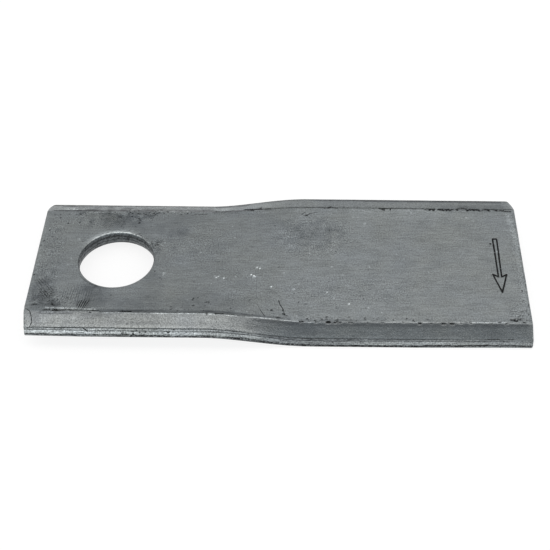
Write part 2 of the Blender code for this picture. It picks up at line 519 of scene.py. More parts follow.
NEAR_CREASE_HIGHLIGHTS = [
    (-59.8, -17.55, -57.6, -17.5, 0.07, 0.7),
    (-57.2, -17.7, -54.8, -17.6, 0.07, 0.7),
    (-58.9, -18.2, -58.0, -17.9, 0.06, 0.8),
    (-53.0, -17.7, -47.0, -17.8, 0.06, 0.7),
    (-44.9, -18.95, -41.5, -18.95, 0.07, 0.6),
    (-40.5, -18.95, -34.0, -18.98, 0.05, 0.5),
    (-33.0, -18.98, -26.5, -19.0, 0.07, 0.75),
    (-26.0, -19.0, -19.5, -19.0, 0.07, 0.65),
    (-17.5, -19.0, -11.0, -19.0, 0.07, 0.6),
    (-8.4, -18.85, -5.6, -18.8, 0.07, 0.8),
    (-4.9, -18.75, -1.0, -18.6, 0.08, 0.9),
    (0.0, -18.75, 4.8, -18.85, 0.07, 0.8),
    (6.6, -18.85, 10.6, -18.95, 0.06, 0.5),
    (14.6, -18.7, 18.0, -18.7, 0.05, 0.35),
    (19.5, -18.7, 25.5, -18.7, 0.04, 0.3),
    (27.2, -18.7, 31.2, -18.6, 0.07, 0.5),
    (32.6, -18.6, 35.6, -18.6, 0.06, 0.45),
    (37.0, -18.6, 41.0, -18.55, 0.06, 0.45),
    (45.2, -18.5, 46.4, -18.5, 0.06, 0.5),
    (49.9, -18.5, 52.8, -18.45, 0.06, 0.5),
    (53.3, -18.5, 56.2, -18.45, 0.06, 0.6),
    (57.3, -18.4, 58.5, -18.4, 0.08, 0.8),
    (59.6, -18.5, 62.0, -18.4, 0.06, 0.55),
    (63.0, -18.4, 64.6, -18.5, 0.06, 0.4),
]

# Torn and folded stretches along the far crease
FAR_TEARS = [
    (-63.7, 18.95, -56.0, 18.95, 0.1, 0.95),
    (-54.6, 19.2, -51.0, 19.05, 0.1, 0.75),
    (-50.1, 19.9, -47.9, 19.6, 0.1, 0.6),
    (-24.0, 18.0, -20.4, 18.0, 0.08, 0.6),
    (-21.7, 20.7, -21.4, 18.6, 0.07, 0.5),
    (-18.2, 19.2, -13.6, 18.8, 0.1, 0.75),
    (-56.0, 18.9, -46.0, 18.85, 0.08, 0.55),
    (-46.0, 18.9, -30.0, 19.1, 0.06, 0.4),
    (-18.2, 19.45, -14.0, 19.5, 0.16, 0.35),
    (-14.0, 19.55, -10.0, 19.35, 0.16, 0.5),
    (-10.2, 19.5, -8.0, 19.2, 0.25, 0.9),
    (-9.2, 19.15, -7.4, 18.95, 0.32, 1.0),
    (-7.4, 19.2, -5.2, 19.0, 0.28, 0.95),
    (-5.6, 19.6, -5.1, 19.9, 0.22, 0.8),
    (-5.2, 19.0, -2.6, 18.75, 0.15, 0.85),
    (-2.6, 18.75, 2.5, 18.7, 0.06, 0.7),
    (2.5, 18.75, 12.2, 18.72, 0.07, 0.8),
    (12.2, 18.6, 13.4, 18.6, 0.17, 0.85),
    (13.4, 18.75, 16.2, 18.75, 0.22, 0.95),
    (14.0, 19.2, 14.8, 19.3, 0.18, 0.6),
    (16.2, 18.7, 27.6, 18.7, 0.06, 0.6),
    (27.6, 18.6, 30.9, 18.6, 0.16, 0.95),
    (28.5, 18.3, 29.1, 18.1, 0.18, 0.9),
    (30.7, 18.4, 30.9, 18.1, 0.12, 0.8),
    (30.9, 18.7, 41.0, 18.7, 0.06, 0.75),
    (40.9, 18.65, 43.3, 18.6, 0.18, 0.9),
    (41.9, 19.8, 42.5, 19.8, 0.2, 0.5),
    (44.2, 18.5, 45.2, 18.2, 0.18, 0.9),
    (46.0, 18.6, 47.1, 18.4, 0.16, 0.95),
    (47.3, 18.6, 48.4, 18.5, 0.14, 0.85),
    (49.4, 18.8, 52.4, 19.2, 0.3, 0.6),
    (50.2, 19.6, 52.5, 20.0, 0.25, 0.45),
    (52.3, 18.6, 52.5, 18.2, 0.13, 0.9),
    (53.4, 18.75, 55.5, 18.5, 0.16, 0.95),
    (57.2, 18.7, 58.5, 18.7, 0.2, 0.95),
    (58.5, 18.7, 64.7, 18.7, 0.06, 0.7),
    (59.3, 18.75, 60.4, 18.6, 0.15, 0.9),
    (60.3, 18.3, 62.4, 18.2, 0.18, 0.8),
    (62.4, 18.1, 64.4, 18.0, 0.15, 0.65),
]
FAR_TEETH_X = (41.5, 42.6, 44.6, 45.3, 46.2, 47.1, 49.3, 52.0, 52.9, 53.9, 55.3, 58.1)
FAR_TEARS += [(x, 18.6, x + 0.3, 18.15, 0.2, 1.0) for x in FAR_TEETH_X]

# Cuts, cracks and dents on the open face
FACE_CUTS = [
    (6.4, 15.7, 7.8, 15.9, 0.12, 0.7),
    (0.7, -15.4, 0.8, -15.8, 0.1, 0.7),
    (0.9, -16.9, 1.8, -17.1, 0.18, 0.85),
    (-0.9, -18.2, 0.3, -17.8, 0.1, 0.6),
    (-31.9, -6.4, -30.9, -7.3, 0.12, 0.5),
    (65.1, 15.0, 65.2, -17.5, 0.04, 0.3),
    (60.4, -17.7, 61.5, -18.0, 0.14, 0.8),
    (61.6, -17.6, 63.0, -17.4, 0.12, 0.7),
]
# Each is a place, a radius and a strength
FACE_PITS = [
    (-58.9, 13.6, 0.15, 0.8),
    (-55.7, 14.1, 0.16, 0.8),
    (-52.6, 14.3, 0.16, 0.6),
    (-56.2, 17.6, 0.2, 0.5),
    (-59.4, 17.5, 0.16, 0.4),
    (-58.4, -16.4, 0.26, 0.9),
    (-58.6, -15.2, 0.16, 0.6),
    (-56.6, -16.2, 0.18, 0.5),
    (-63.4, -16.4, 0.25, 0.6),
    (-64.6, 6.8, 0.15, 0.8),
    (-65.0, -5.9, 0.15, 0.8),
    (-54.4, -2.3, 0.18, 0.4),
    (-39.2, 14.1, 0.24, 0.85),
    (-35.6, 12.8, 0.24, 0.5),
    (-2.1, -15.8, 0.2, 0.85),
    (-3.2, -15.9, 0.14, 0.5),
    (-16.3, -0.5, 0.2, 0.55),
    (-19.1, -0.2, 0.16, 0.4),
    (-17.0, 13.6, 0.2, 0.4),
    (-1.4, 12.5, 0.16, 0.45),
    (-0.3, -1.9, 0.16, 0.6),
    (-0.2, -12.9, 0.3, 0.7),
    (3.8, -11.8, 0.15, 0.5),
    (14.7, -14.1, 0.18, 0.5),
    (21.9, -11.6, 0.14, 0.6),
    (8.8, 13.6, 0.5, 0.25),
    (10.0, 11.3, 0.4, 0.3),
    (7.6, 3.9, 0.18, 0.45),
    (15.2, 3.7, 0.2, 0.5),
    (14.0, 3.8, 0.12, 0.3),
    (57.4, 6.8, 0.18, 0.8),
    (56.3, -3.7, 0.14, 0.45),
    (51.9, -13.0, 0.16, 0.3),
    (49.8, 6.4, 0.2, 0.35),
    (38.3, -17.7, 0.12, 0.5),
    (5.9, -18.65, 0.12, 0.85),
    (9.1, -18.4, 0.1, 0.8),
    (9.3, -18.85, 0.12, 0.8),
    (11.0, -18.1, 0.12, 0.8),
    (12.6, -18.7, 0.3, 0.95),
    (14.9, -18.7, 0.1, 0.8),
    (15.8, -18.8, 0.1, 0.7),
    (17.9, -18.8, 0.1, 0.7),
    (-0.2, -11.1, 0.1, 0.6),
    (2.4, -11.0, 0.1, 0.6),
    (3.7, -10.3, 0.1, 0.55),
    (14.0, -13.2, 0.1, 0.6),
    (-21.0, -15.5, 0.12, 0.5),
    (-18.8, -13.4, 0.12, 0.5),
    (-19.2, -16.3, 0.12, 0.55),
    (-19.6, -18.0, 0.12, 0.6),
    (-54.9, -14.0, 0.14, 0.6),
    (-29.1, -16.4, 0.14, 0.5),
    (-42.3, 19.9, 0.12, 0.85),
    (-34.5, 19.7, 0.12, 0.85),
    (-33.7, 20.2, 0.16, 0.85),
    (-32.0, 19.8, 0.1, 0.75),
    (-25.8, 20.0, 0.1, 0.65),
]
FACE_SPECKS = [
    (-16.8, -6.4, 0.16, 0.9),
    (-17.1, -5.8, 0.1, 0.5),
    (-14.8, -6.5, 0.13, 0.8),
    (-15.9, -5.6, 0.08, 0.5),
    (-6.1, -2.3, 0.12, 0.8),
    (-5.3, -2.5, 0.16, 0.7),
    (-7.6, -4.8, 0.15, 0.9),
    (-6.75, -5.25, 0.17, 1.0),
    (-7.0, -5.8, 0.1, 0.6),
    (-2.2, -8.5, 0.17, 0.9),
    (-8.9, -4.6, 0.1, 0.4),
    (-21.1, -10.1, 0.14, 0.5),
    (3.7, -8.8, 0.18, 0.8),
    (12.4, -9.7, 0.15, 0.9),
    (16.9, -4.2, 0.16, 0.6),
    (18.1, -13.3, 0.14, 0.7),
    (14.2, -13.1, 0.14, 0.5),
    (1.1, -3.8, 0.14, 0.5),
    (-61.3, -5.3, 0.2, 0.5),
    (-60.0, -9.4, 0.3, 0.35),
    (-56.6, -2.4, 0.2, 0.4),
    (-56.0, -0.2, 0.18, 0.4),
    (-54.8, 7.3, 0.25, 0.6),
    (-30.7, -5.0, 0.15, 0.6),
    (-24.4, -10.0, 0.1, 0.5),
    (23.4, 13.2, 0.3, 0.4),
    (53.6, 14.6, 0.25, 0.4),
    (24.7, -12.8, 0.2, 0.35),
    (-32.2, 5.6, 0.14, 0.5),
    (-31.4, 6.2, 0.12, 0.5),
    (-33.4, 3.4, 0.12, 0.5),
    (-30.8, -5.6, 0.1, 0.8),
]

# Soft marks: worn light strips, strips of painted shade along the creases and edges, and dirt.
# Each strip runs from one place to another, and each stain is a place with its reach along and
# across. The last number is the strength.
SOFT_RUBS = [
    (-60.3, 20.6, -58.6, 20.6, 0.3, 0.3),
    (-23.5, 20.8, -19.5, 20.8, 0.2, 0.15),
    (-18.0, 20.7, -11.0, 20.6, 0.6, 0.25),
    (-9.0, 20.6, -3.0, 20.6, 0.6, 0.12),
    (63.4, 16.6, 64.9, 6.0, 0.5, 0.3),
    (64.4, 10.0, 64.5, -16.0, 0.3, 0.2),
    (-64.9, 17.0, -64.9, -16.0, 0.2, 0.12),
    (-61.0, -20.6, -52.0, -20.5, 0.9, 0.16),
    (-30.0, -20.2, -14.0, -20.2, 0.9, 0.15),
    (20.0, 17.6, 46.0, 17.5, 0.5, 0.2),
    (20.0, 15.9, 56.0, 15.9, 1.0, 0.1),
]
SHADE_STRIPS = [
    (-62.0, 18.9, -56.0, 19.0, 0.2, 0.35),
    (-56.0, 19.1, -47.0, 19.4, 0.45, 0.42),
    (-56.0, 20.3, -47.0, 20.4, 0.8, 0.2),
    (-47.0, 19.45, -37.0, 19.6, 0.4, 0.45),
    (-37.0, 19.7, -25.0, 19.9, 0.6, 0.45),
    (-44.0, 20.6, -19.0, 20.3, 0.8, 0.25),
    (-24.0, 19.6, -19.0, 19.5, 0.5, 0.45),
    (-18.5, 19.15, -10.0, 19.2, 0.4, 0.55),
    (-61.5, 21.8, -56.5, 21.8, 0.15, 0.6),
    (-56.0, 21.7, -48.0, 21.7, 0.15, 0.3),
    (-18.0, 22.1, -9.0, 22.2, 0.3, 0.45),
    (10.0, 22.4, 24.0, 22.4, 0.2, 0.35),
    (24.0, 22.3, 62.0, 22.3, 0.3, 0.5),
    (46.0, 19.6, 62.0, 20.0, 0.9, 0.25),
    (45.0, 18.5, 58.0, 18.5, 0.3, 0.3),
    (-46.5, -18.35, -27.0, -18.4, 0.2, 0.45),
    (-27.0, -18.4, -20.0, -18.4, 0.15, 0.4),
    (-20.0, -18.3, -7.5, -18.3, 0.15, 0.5),
    (-7.5, -18.3, 2.5, -18.3, 0.15, 0.35),
    (5.0, -18.5, 21.0, -18.5, 0.3, 0.25),
    (-56.0, 17.5, -48.0, 17.5, 0.6, 0.18),
    (-61.0, -19.05, -53.0, -19.05, 0.2, 0.5),
    (-50.0, -19.5, -43.0, -19.5, 0.4, 0.27),
    (-42.0, -21.6, -32.0, -21.6, 0.2, 0.18),
    (-6.5, -19.3, 6.0, -19.3, 0.4, 0.42),
    (-7.0, -20.6, 8.0, -20.6, 2.2, 0.2),
    (6.0, -19.4, 48.0, -19.4, 0.3, 0.28),
    (48.0, -19.2, 64.0, -19.1, 0.3, 0.3),
]
STAINS = [
    (-46.0, 15.6, 8.0, 3.6, 0.28),
    (-36.0, 14.5, 11.0, 5.0, 0.15),
    (-24.0, 16.5, 7.0, 3.0, 0.1),
    (-33.6, 0.0, 2.4, 4.0, 0.12),
    (-34.0, -15.0, 4.0, 4.0, 0.1),
    (-20.0, -15.6, 16.0, 2.8, 0.12),
    (-29.0, 9.5, 5.0, 4.5, 0.15),
    (-34.5, 4.0, 3.0, 4.0, 0.09),
    (-33.5, -6.2, 2.4, 2.2, 0.16),
    (-62.0, -12.0, 3.4, 7.6, 0.34),
    (-58.5, -16.0, 4.0, 2.6, 0.28),
    (-48.5, -12.8, 4.6, 4.2, 0.24),
    (-50.0, -16.0, 2.6, 2.2, 0.18),
    (-41.0, -16.4, 9.0, 3.4, 0.16),
    (-33.5, -11.0, 3.5, 4.5, 0.09),
    # This one is painted shade beyond the near side of the hole's rim
    (-49.5, -10.2, 3.6, 1.6, 0.12),
    (-19.0, -13.5, 6.0, 5.5, 0.08),
    (3.0, 9.5, 8.0, 6.5, 0.11),
    (12.0, 10.0, 7.0, 5.0, 0.14),
    (-1.0, 15.0, 6.0, 3.5, 0.07),
    (5.3, -16.9, 1.2, 0.8, 0.12),
    (55.0, -20.8, 3.5, 2.2, 0.2),
]

# Coarser patches, as places with their reach along and across and an amount
COARSE_PATCHES = [
    (-41.0, 17.2, 11.0, 3.2, 1.5),
    (-53.0, 15.5, 9.0, 4.0, 1.0),
    (-61.5, 0.0, 4.0, 20.0, 1.1),
    (-60.0, -14.0, 6.0, 5.0, 1.3),
    (-51.0, -13.0, 7.0, 5.0, 0.6),
    (-33.6, 5.0, 2.8, 4.0, 1.5),
    (-34.0, 3.0, 3.5, 6.5, 0.6),
    (18.0, -9.0, 24.0, 6.0, 0.45),
    (-52.0, -18.0, 9.0, 1.2, 1.2),
    (-24.0, 6.0, 13.0, 9.0, 0.65),
    (-8.0, -10.0, 10.0, 10.0, 0.4),
    (9.0, 9.0, 14.0, 9.0, 0.8),
    (64.5, 0.0, 2.5, 22.0, 0.7),
    (62.5, -15.5, 4.0, 4.0, 0.8),
    (-10.0, -17.9, 60.0, 1.0, 0.5),
    (0.0, 18.2, 75.0, 0.8, 0.5),
    (40.0, -17.9, 25.0, 1.0, 0.6),
    (-38.0, 20.6, 34.0, 2.9, 1.5),
    (30.0, 20.6, 42.0, 2.6, 0.5),
    (-40.0, -21.0, 42.0, 3.4, 0.65),
]

# Areas strewn with small pits, each from one x to another, one y to another, and a number
STREWN_AREAS = (
    (-44.2, -31.0, 17.0, 20.6, 24),
    (-49.0, -34.0, 11.5, 16.8, 22),
    (-23.0, -18.0, -17.0, -13.0, 12),
    (-35.2, -32.0, 3.6, 7.2, 20),
    (-42.5, -36.0, 8.4, 11.4, 8),
    (-63.8, -60.5, 7.0, 11.4, 8),
    (-63.5, -58.0, 14.0, 18.0, 8),
    (-64.0, -55.0, -17.8, -14.5, 26),
    (4.0, 26.0, -18.4, -17.2, 26),
    (60.4, 64.8, -18.3, -14.6, 20),
    (28.0, 50.0, -18.4, -17.4, 14),
    (63.6, 65.2, -15.5, -1.0, 12),
    (40.0, 57.0, 18.05, 18.6, 30),
    (-45.0, -24.0, 18.7, 20.4, 34),
    (-55.0, -44.0, 17.4, 18.6, 14),
    (-14.0, 16.0, -18.2, -10.5, 22),
    (-28.0, -12.0, -18.2, -15.5, 14),
)
PIT_LEAST = 0.05
PIT_SPREAD = 0.14
dice = random.Random(7)
strewn = []
for x0, x1, y0, y1, count in STREWN_AREAS:
    for _ in range(count):
        x, y = dice.uniform(x0, x1), dice.uniform(y0, y1)
        strewn.append((x, y, PIT_LEAST + PIT_SPREAD * dice.random() ** 2, dice.uniform(0.3, 0.75)))

touch(dark, NEAR_TEARS + FAR_TEARS, rough=1.1, soft=0.12)
touch(dark, FACE_CUTS, rough=0.5, soft=0.16)
touch(dark, [(x, y, x + 0.1, y, r, s) for x, y, r, s in FACE_PITS + strewn], rough=0.7, soft=0.2)
# The painted highlight along the near crease goes onto the bright layer
touch(bright, NEAR_CREASE_HIGHLIGHTS, rough=1.2, soft=0.08)
touch(bright, [(x, y, x, y, r, 1.3 * s) for x, y, r, s in FACE_SPECKS], rough=0.6, soft=0.2)
touch(bright, SOFT_RUBS, rough=0.8, soft=0.6)
# Painted shade along the creases and edges goes onto the stain layer, with the real stains
touch(stain_and_shade, SHADE_STRIPS, rough=0.4, soft=0.35)
depth += MARK_DEPTH * dark
cloudy = 1.0 + 0.38 * value_noise(flat_x / 2.2, flat_y / 1.8, 3)
cloudy += 0.25 * value_noise(flat_x / 0.9, flat_y / 0.8, 4)
for *place, strength in STAINS:
    stain_and_shade += strength * on_upper * np.exp(-1.4 * outwards(*place) ** 1.5) * cloudy
coarse = np.full(len(flat), 0.1)
for *place, amount in COARSE_PATCHES:
    patch_amount = amount * np.clip(1.5 - 1.5 * outwards(*place), 0.0, 1.0)
    coarse = np.maximum(coarse, patch_amount * np.clip(cloudy, 0.3, 1.4))
stain_and_shade += 0.18 * coarse * on_upper * value_noise(flat_x / 1.5, flat_y / 1.4, 13)

# The far bevel of the fixing flat is streaked by its grinding
on_far_bevel = on_upper * (flat_y > CREASE_Y) * np.clip(-flat_x / 12.0, 0.0, 1.0)
stain_and_shade += 0.24 * on_far_bevel * value_noise(flat_x / 1.9, flat_y / 0.8, 14)

# The corner knocked off the bevel at the near side of the fixing end
CHIP_Y = (-22.9, -22.7, -21.6, -20.4, -18.5, -17.6)
CHIP_X = (-63.5, -63.1, -62.9, -63.2, -63.9, -64.3)
CHIP_SLOPE = 0.12
NO_CHIP_X = -70.0
chip_x = np.interp(flat_y, CHIP_Y, CHIP_X, left=NO_CHIP_X, right=NO_CHIP_X)
chipped = on_upper * np.clip(chip_x - flat_x, 0.0, 2.0)
depth += CHIP_SLOPE * chipped
bright = np.maximum(bright, 0.15 * np.clip(chipped / 0.3, 0.0, 1.0))

# Rolled-in rim about the hole. It falls towards the far side; along that side it has a
# painted highlight with a softer painted glow beyond it, and painted shade at the near side.
# Turns are in radians.
RIM_FALL = 0.2
SHINE_OUT = 0.42
SHINE_TURN = 1.68
GLOW_OUT = (0.3, 0.8, 1.0, 1.4, 1.9)
GLOW = (0.0, 0.7, 0.5, 0.24, 0.0)
GLOW_TURN = 1.9
SHADE_OUT = 0.8
SHADE_TURN = -2.2
from_hole = np.hypot(flat_x - HOLE_X, flat_y) - HOLE_RADIUS
turn = np.arctan2(flat_y, flat_x - HOLE_X)
rim_drop = RIM_FALL * np.clip(0.5 + 0.8 * np.sin(turn), 0.0, 1.0) * np.clip(1.0 - from_hole, 0.0, 1.0) ** 2
rim_drop *= np.clip((flat_z - 1.8) / 1.8, 0.0, 1.0)
rim_shine = about(from_hole, SHINE_OUT, 0.14, 1.5) * about(turn, SHINE_TURN, 0.45, 1.8)
rim_shine *= 2.2 + 1.2 * value_noise(turn * 12.0, turn * 0.0, 24)
rim_glow = np.interp(from_hole, GLOW_OUT, GLOW) * about(turn, GLOW_TURN, 0.55, 1.6)
rim_shade = about(from_hole, SHADE_OUT, 0.25, 1.4) * about(turn, SHADE_TURN, 0.4, 1.6)
bright = np.maximum(bright, on_upper * np.maximum(rim_shine, rim_glow))
dark = np.maximum(dark, 0.42 * on_upper * rim_shade)

# Bands of the punched wall, each a height, a half width and a strength, with tattered edges
WALL_BANDS = ((3.05, 0.42, 0.5), (1.7, 0.14, 0.6), (0.15, 0.25, 0.55))
in_wall = (from_hole < RIM_RADIUS - 0.05) & (flat_z < THICKNESS - 0.25) & (flat_z > 0.01)
tatter = 0.18 * value_noise(turn * 9.0, flat_z * 0.6, 21)
tatter += 0.12 * value_noise(turn * 28.0, flat_z * 1.2, 22)
for z, half, strength in WALL_BANDS:
    dark = np.maximum(dark, in_wall * strength * about(flat_z, z + tatter, half, 1.5))
speckled = 1.6 * value_noise(turn * 30.0, flat_z * 1.6, 23)
dark = np.maximum(dark, in_wall * 0.45 * np.clip(speckled, 0.0, 1.0))
bright = np.maximum(bright, in_wall * 0.35 * np.clip(-speckled, 0.0, 1.0))

# Nicks beside the rim, each a turn in degrees, a distance out, a radius and a strength
RIM_NICKS = (
    (80, 0.3, 0.08, 0.6),
    (71, 0.35, 0.05, 0.6),
    (65, 0.5, 0.12, 0.8),
    (58, 0.8, 0.1, 0.7),
    (53, 0.4, 0.06, 0.6),
    (47, 1.0, 0.08, 0.7),
    (43, 0.5, 0.06, 0.6),
    (38, 1.4, 0.06, 0.7),
    (34, 1.0, 0.05, 0.6),
    (33, 0.5, 0.06, 0.6),
    (30, 2.0, 0.06, 0.7),
    (27, 1.4, 0.06, 0.6),
    (24, 0.8, 0.05, 0.6),
    (-22, 1.6, 0.12, 0.7),
    (-27, 2.2, 0.08, 0.6),
)
for degrees, out, radius, strength in RIM_NICKS:
    away = np.hypot((turn - math.radians(degrees)) * HOLE_RADIUS, from_hole - out)
    dark = np.maximum(dark, strength * on_upper * fading(away, radius + 0.2))

# Stamped line of the arrow
arrow_outline = [
    (-ARROW_TAIL_HALF, ARROW_TAIL_Y),
    (ARROW_TAIL_HALF, ARROW_TAIL_Y),
    (ARROW_NECK_HALF, ARROW_NECK_Y),
    (ARROW_HEAD_HALF, ARROW_BARB_Y),
    (0.0, ARROW_TIP_Y),
    (-ARROW_HEAD_HALF, ARROW_BARB_Y),
    (-ARROW_NECK_HALF, ARROW_NECK_Y),
]
to_line = np.full(len(flat), 9.0)
for (x0, y0), (x1, y1) in zip(arrow_outline, arrow_outline[1:] + arrow_outline[:1]):
    to_line = np.minimum(to_line, away_from(ARROW_X + x0, y0, ARROW_X + x1, y1))
stamped = on_upper * np.clip(1.0 - (to_line / ARROW_LINE_HALF) ** 2, 0.0, 1.0)
depth += ARROW_DEPTH * stamped
dark = np.maximum(dark, 0.95 * np.clip(1.9 * stamped, 0.0, 1.0))

# The near bevel has painted shade below its crease and a painted highlight above its
# shoulder. Lines follow the shoulder, by how far they lie up the bevel from it or, below zero,
# down the land: two grooves from the trimming, a bright granular band whose brightness is
# painted highlight, and a dark foot of painted shade
BEVEL_SLANT = 1.07
LAND_SLANT = 1.14
SHEEN_UP = (0.2, 0.3, 1.2, 2.6, 3.4, 4.0)
SHEEN = (0.0, 0.08, 0.17, 0.16, 0.1, 0.0)
on_bevel = flat_z > THICKNESS - BEVEL_DROP
up_bevel = BEVEL_SLANT * (SHOULDER_Y - np.abs(flat_y))
up_edge = np.where(on_bevel, up_bevel, LAND_SLANT * (flat_z - THICKNESS + BEVEL_DROP))
near_edge = (flat_y < -CREASE_Y + 0.02) & (flat_z > 0.02) & (flat_z < THICKNESS)
wing_side = np.clip((flat_x + 10.0) / 10.0, 0.0, 1.0)
wander = 0.04 * value_noise(flat_x / 9.0, flat_x * 0.0, 5)
wander += 0.04 * value_noise(flat_x / 1.7, flat_x * 0.0, 6)
speckle = value_noise(flat_x / 0.42, up_edge / 0.17, 7)
# Painted shade under the near crease, and a painted highlight and sheen above the shoulder
under_crease_shade = np.interp(up_edge, (2.6, 3.6, 4.2, 4.5), (0.04, 0.12, 0.2, 0.15))
stain_and_shade = np.maximum(stain_and_shade, np.where(near_edge & on_bevel, under_crease_shade, 0.0))
shoulder_highlight = np.interp(up_edge, (0.12, 0.25, 0.6, 1.0, 1.6), (0.0, 0.42, 0.32, 0.06, 0.0))
shoulder_highlight += wing_side * np.interp(up_edge, SHEEN_UP, SHEEN)
bright = np.maximum(bright, np.where(near_edge & on_bevel, shoulder_highlight * (0.9 + 0.3 * speckle), 0.0))
LINE_X = (-57.0, -47.0, -37.0, -25.0, -12.0, 0.0, 14.0, 29.0, 41.0, 52.0, 60.0)
SHOULDER_LINE = (0.04, 0.04, -0.07, -0.02, 0.05, 0.08, 0.05, 0.02, 0.08, 0.2, 0.2)
LAND_LINE = (-0.53, -0.74, -0.74, -0.74, -0.65, -0.55, -0.7, -0.55, -0.45, -0.35, -0.35)
LINE_HALF = 0.08
for line_at, strength, sink in ((SHOULDER_LINE, 0.85, 0.03), (LAND_LINE, 0.8, 0.05)):
    line = near_edge * about(up_edge, np.interp(flat_x, LINE_X, line_at) + wander, LINE_HALF, 1.4)
    dark = np.maximum(dark, strength * line)
    depth += sink * line
# Painted shade along the foot of the near land, where it turns under towards the floor
FOOT_AT = (-1.8, -1.78, -1.83, -1.98, -1.75, -1.82, -1.9, -1.9, -1.75, -1.58, -1.51)
FOOT_SHADE = (0.57, 0.5, 0.62, 0.58, 0.62, 0.6, 0.62, 0.68, 0.72, 0.76, 0.68)
foot_at = np.interp(flat_x, LINE_X, FOOT_AT) + 1.5 * wander + 0.1 * value_noise(flat_x / 0.8, up_edge, 8)
foot = np.clip((foot_at + 0.3 - up_edge) / 0.15, 0.0, 1.0)
paler = np.interp(flat_x, (-60.0, -45.0, 18.0, 45.0), (0.8, 0.4, 0.1, 1.0))
paler = paler * np.clip((foot_at - 0.2 - up_edge) / 0.15, 0.0, 1.0)
broken_up = 1.0 + 0.3 * value_noise(flat_x / 0.7, up_edge / 0.3, 9)
foot_shade = np.interp(flat_x, LINE_X, FOOT_SHADE) * foot * (1.0 - 0.7 * paler) * broken_up
dark = np.maximum(dark, np.where(near_edge, foot_shade, 0.0))

# Pits of the land, each a place along, a height from the shoulder and a radius
LAND_PITS = (
    (-39.9, -1.45, 0.3),
    (-38.8, -1.6, 0.2),
    (-37.2, -1.5, 0.28),
    (-35.5, -1.1, 0.2),
    (-34.0, -1.0, 0.14),
    (-28.2, -1.0, 0.26),
)
for x, up, radius in LAND_PITS:
    away = np.hypot(flat_x - x, up_edge - up)
    dark = np.maximum(dark, 0.9 * near_edge * fading(away, radius + 0.15))

# Painted highlight, or below zero painted shade, on the land along its band and beside it
BAND_SHINE = (0.53, 0.52, 0.36, 0.39, 0.12, -0.27, -0.18, 0.12, 0.27, -0.06, 0.02)
ABOVE_SHINE = (0.12, 0.33, -0.04, 0.02, -0.17, -0.42, -0.4, -0.25, -0.12, -0.25, -0.18)
BAND_UP = -1.15
BAND_HALF = 0.5
in_band = about(up_edge, BAND_UP + wander, BAND_HALF, 1.5)
band_shine = np.interp(flat_x, LINE_X, BAND_SHINE)
above_shine = np.interp(flat_x, LINE_X, ABOVE_SHINE)
shone = (above_shine + (band_shine - above_shine) * in_band) * (1.0 + 0.9 * speckle)
on_land = near_edge & ~on_bevel & (up_edge > foot_at)
bright = np.maximum(bright, np.where(on_land, shone, 0.0))
stain_and_shade = np.maximum(stain_and_shade, np.where(on_land, -shone, 0.0))

# The near toe is worn back towards both ends
TOE_WEAR = 0.22
worn = np.clip((flat_x - 36.0) / 22.0, 0.0, 1.0) + np.clip((-flat_x - 50.0) / 14.0, 0.0, 1.0)
toe_wear = TOE_WEAR * worn * (flat_y < -SHOULDER_Y) * np.clip((1.2 - flat_z) / 0.8, 0.0, 1.0)

# Painted shade along the shoulder of the far edge
FAR_LINE_Y = 22.6
far_half = np.interp(flat_x, (-62.0, -30.0, 0.0), (0.38, 0.32, 0.25))
far_shoulder_shade = on_upper * about(flat_y, FAR_LINE_Y + 2.0 * wander, far_half, 1.3)
far_shoulder_shade *= np.interp(flat_x, (-62.0, -25.0, 0.0, 25.0), (0.9, 0.75, 0.65, 0.75))
dark = np.maximum(dark, far_shoulder_shade * (0.8 + 0.3 * ragged))

# None of the marks reaches onto the sheared ends
for layer in (dark, bright, stain_and_shade, depth):
    layer[-drawn_in_count:] = 0.0

# The whole surface is a little uneven, as rolled: low swells, and a finer unevenness
above_toe = flat_z > 1.0
depth += 0.014 * (1.0 + value_noise(flat_x / 11.0, flat_y / 6.0, 11)) * above_toe
depth += 0.006 * (1.0 + value_noise(flat_x / 2.3, flat_y / 1.7, 12)) * above_toe


# Twist: the bar is cold set in a press, between the fixing flat and the wing. It lies at
# rest on the far edge of its fixing flat and the near edge of its wing.
TWIST_ANGLE = math.radians(9.0)
TWIST_START_X = -END_X + 45.7
TWIST_LENGTH = 28.0

part = np.clip((flat_x - TWIST_START_X) / TWIST_LENGTH, 0.0, 1.0)
angle = TWIST_ANGLE * (part * part * (3.0 - 2.0 * part) - 0.5)
rise = flat_z - rim_drop - THICKNESS / 2
twisted_y = (flat_y + toe_wear) * np.cos(angle) - rise * np.sin(angle)
twisted_z = (flat_y + toe_wear) * np.sin(angle) + rise * np.cos(angle)
twisted = np.stack([flat_x, twisted_y, twisted_z - twisted_z.min()], axis=1)

bar_mesh = bpy.data.meshes.new("blade_bar")
bar_mesh.from_pydata((twisted * MM).tolist(), [], bar_faces)
normals = np.empty(len(flat) * 3)
bar_mesh.vertex_normals.foreach_get("vector", normals)
sunk = twisted - normals.reshape(-1, 3) * depth[:, None]
bar_mesh.vertices.foreach_set("co", (sunk * MM).ravel())
bar_mesh.shade_smooth()
blade_bar = bpy.data.objects.new("blade_bar", bar_mesh)
bpy.context.scene.collection.objects.link(blade_bar)
bar_mesh.attributes.new("flat", "FLOAT_VECTOR", "POINT").data.foreach_set("vector", flat.ravel())
for name, layer in (("dark", dark), ("bright", bright), ("stain_and_shade", stain_and_shade), ("coarse", coarse)):
    bar_mesh.attributes.new(name, "FLOAT", "POINT").data.foreach_set("value", layer)
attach(blade_bar, "root")
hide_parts("blade")


